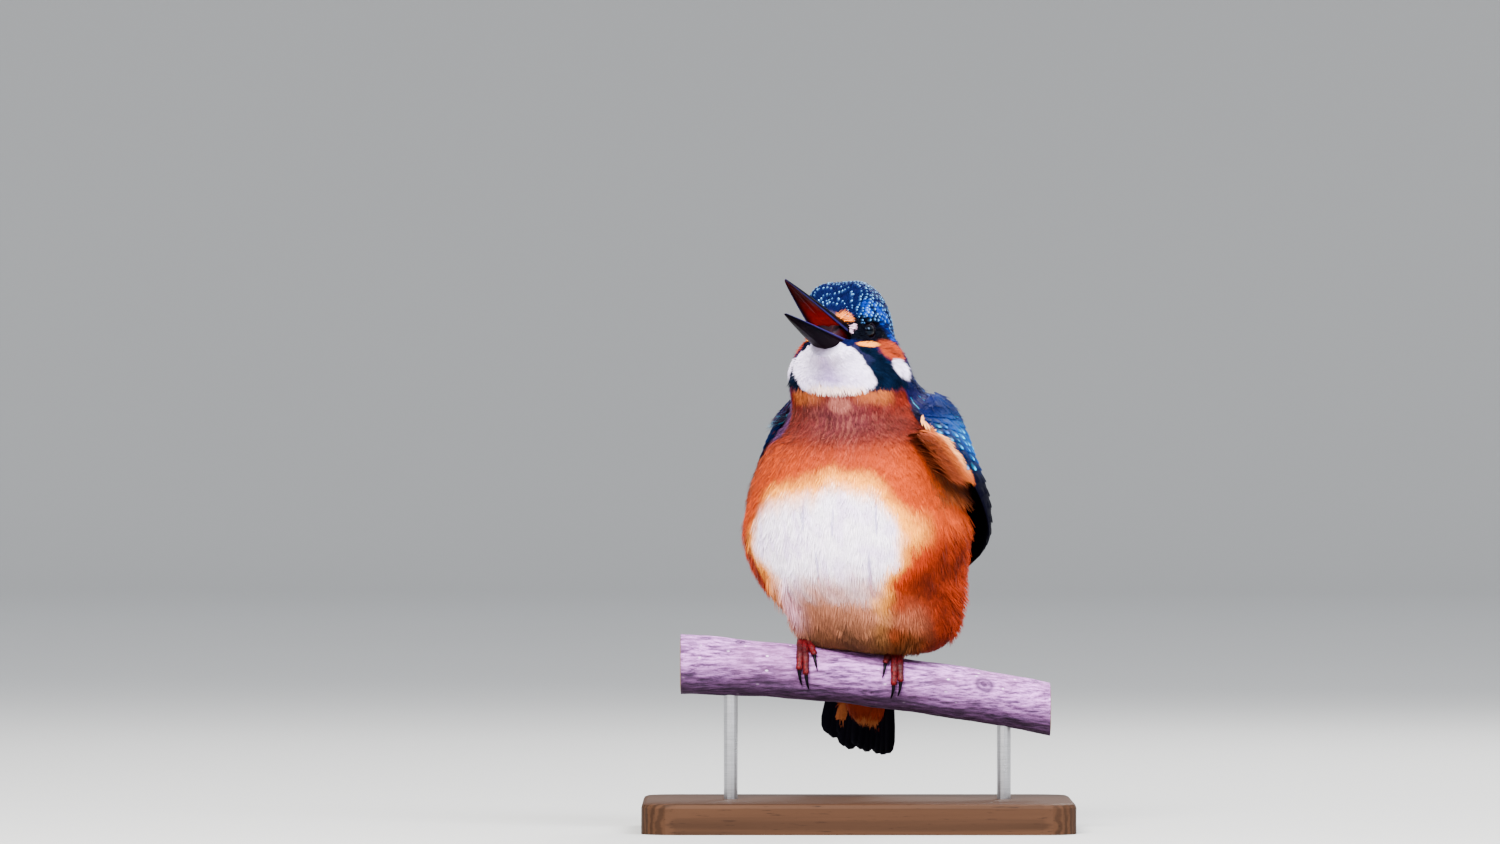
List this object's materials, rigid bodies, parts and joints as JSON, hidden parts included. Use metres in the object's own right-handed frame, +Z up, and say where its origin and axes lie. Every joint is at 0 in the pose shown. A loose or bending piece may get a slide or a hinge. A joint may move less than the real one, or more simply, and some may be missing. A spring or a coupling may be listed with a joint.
{
  "type": "kingfisher on a perch",
  "caption": "Perched kingfisher with an open dagger bill, fluffed orange and white belly and blue wings, gripping a cut branch on a flat display stand.",
  "frame": {"origin": "middle of the stand base's underside", "axes": "+Z up; the bird faces -Y, turned about 14 degrees towards -X; its branch runs along X"},
  "size_m": [0.112, 0.0951, 0.1426],
  "materials": {
    "plumage_crown": "glossy barred feathers, deep blue with bright spots",
    "plumage_neck": "soft feathers, white throat and patch between blue stripes",
    "plumage_body": "soft loose feathers, orange flanks round a white belly",
    "plumage_wing": "blue wing feathers with pale spots, blackish quills",
    "plumage_tail": "dark blue tail feathers",
    "bill_horn": "satin horn, red inside",
    "eye_dark": "wet and very dark",
    "foot_skin": "fine scaled red skin",
    "claw_horn": "polished black horn",
    "bark": "thin smooth bark with fine streaks",
    "base_wood": "dark satin wood",
    "rod_steel": "brushed"
  },
  "bodies": {
    "root": {"head": "plumage_crown", "neck": "plumage_neck", "trunk": "plumage_body", "wing_left": "plumage_wing", "wing_right": "plumage_wing", "tail": "plumage_tail", "bill_upper": "bill_horn", "bill_lower": "bill_horn", "eye_left": "eye_dark", "eye_right": "eye_dark", "perch": "bark", "stand_base": "base_wood", "stand_rod_left": "rod_steel", "stand_rod_right": "rod_steel", "leg_left": "foot_skin", "foot_left": "foot_skin", "claw_left_inner": "claw_horn", "claw_left_middle": "claw_horn", "claw_left_outer": "claw_horn", "claw_left_hind": "claw_horn", "leg_right": "foot_skin", "foot_right": "foot_skin", "claw_right_inner": "claw_horn", "claw_right_middle": "claw_horn", "claw_right_outer": "claw_horn", "claw_right_hind": "claw_horn"}
  },
  "joints": []
}
